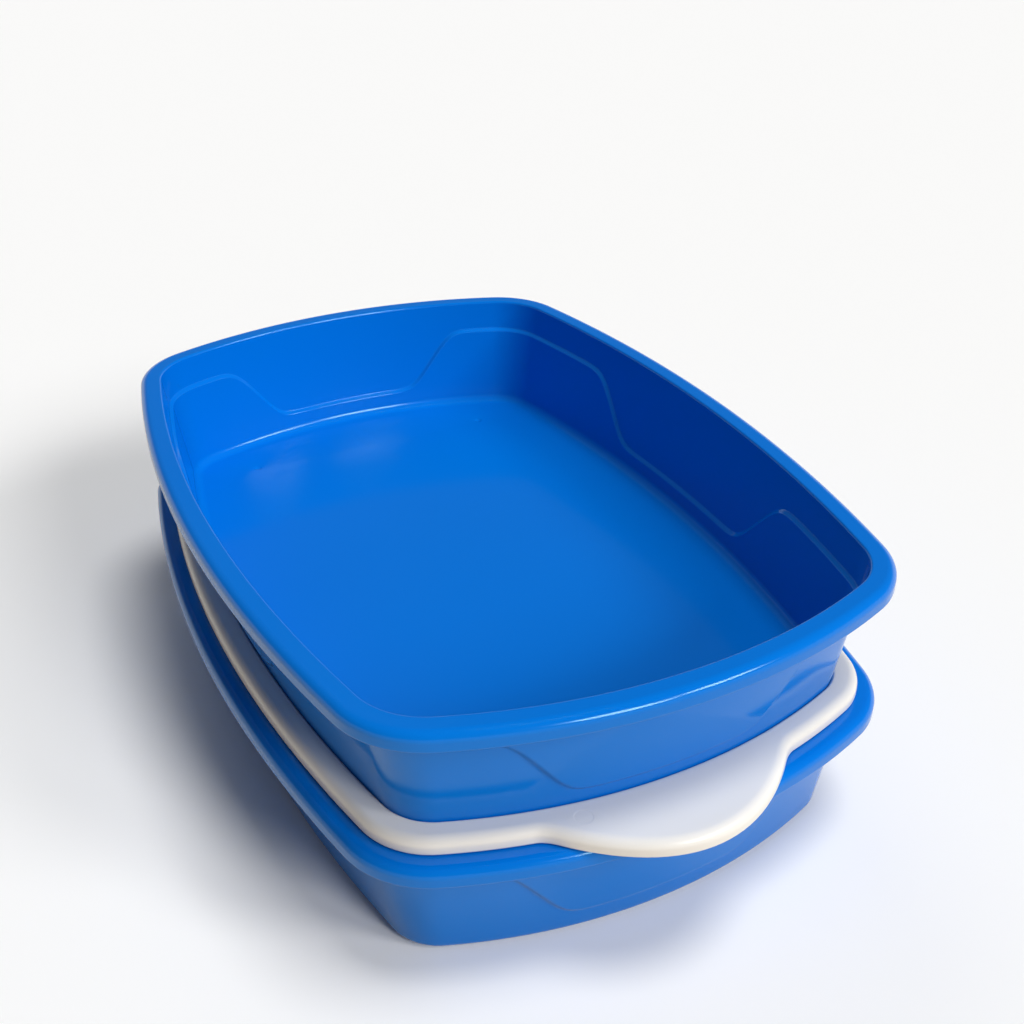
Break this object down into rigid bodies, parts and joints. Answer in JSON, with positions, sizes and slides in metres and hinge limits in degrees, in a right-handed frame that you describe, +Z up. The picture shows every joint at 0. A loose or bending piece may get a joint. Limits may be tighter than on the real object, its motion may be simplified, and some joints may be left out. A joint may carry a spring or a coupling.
{
  "type": "cat litter box",
  "caption": "Sifting cat litter box: a perforated tray with end handles that stands between matching bowed pans, each tray lifting straight off the one below.",
  "frame": {"origin": "middle of the bottom pan's underside, on the surface that the box stands on", "axes": "+X across the trays, +Y along them towards the far handle, +Z up, the way the trays lift off"},
  "size_m": [0.336, 0.518, 0.1541],
  "materials": {
    "blue_plastic": "gloss, moulded polypropylene",
    "white_plastic": "satin, moulded polypropylene"
  },
  "bodies": {
    "bottom_pan": {"bottom_pan": "blue_plastic"},
    "sifter": {"sifter": "white_plastic"},
    "top_pan": {"top_pan": "blue_plastic"}
  },
  "joints": [
    {"name": "sifter_lift", "type": "slide", "parent": "bottom_pan", "child": "sifter", "axis": [0, 0, 1], "range_m": [0, 0.1]},
    {"name": "top_pan_lift", "type": "slide", "parent": "sifter", "child": "top_pan", "axis": [0, 0, 1], "range_m": [0, 0.04]}
  ]
}
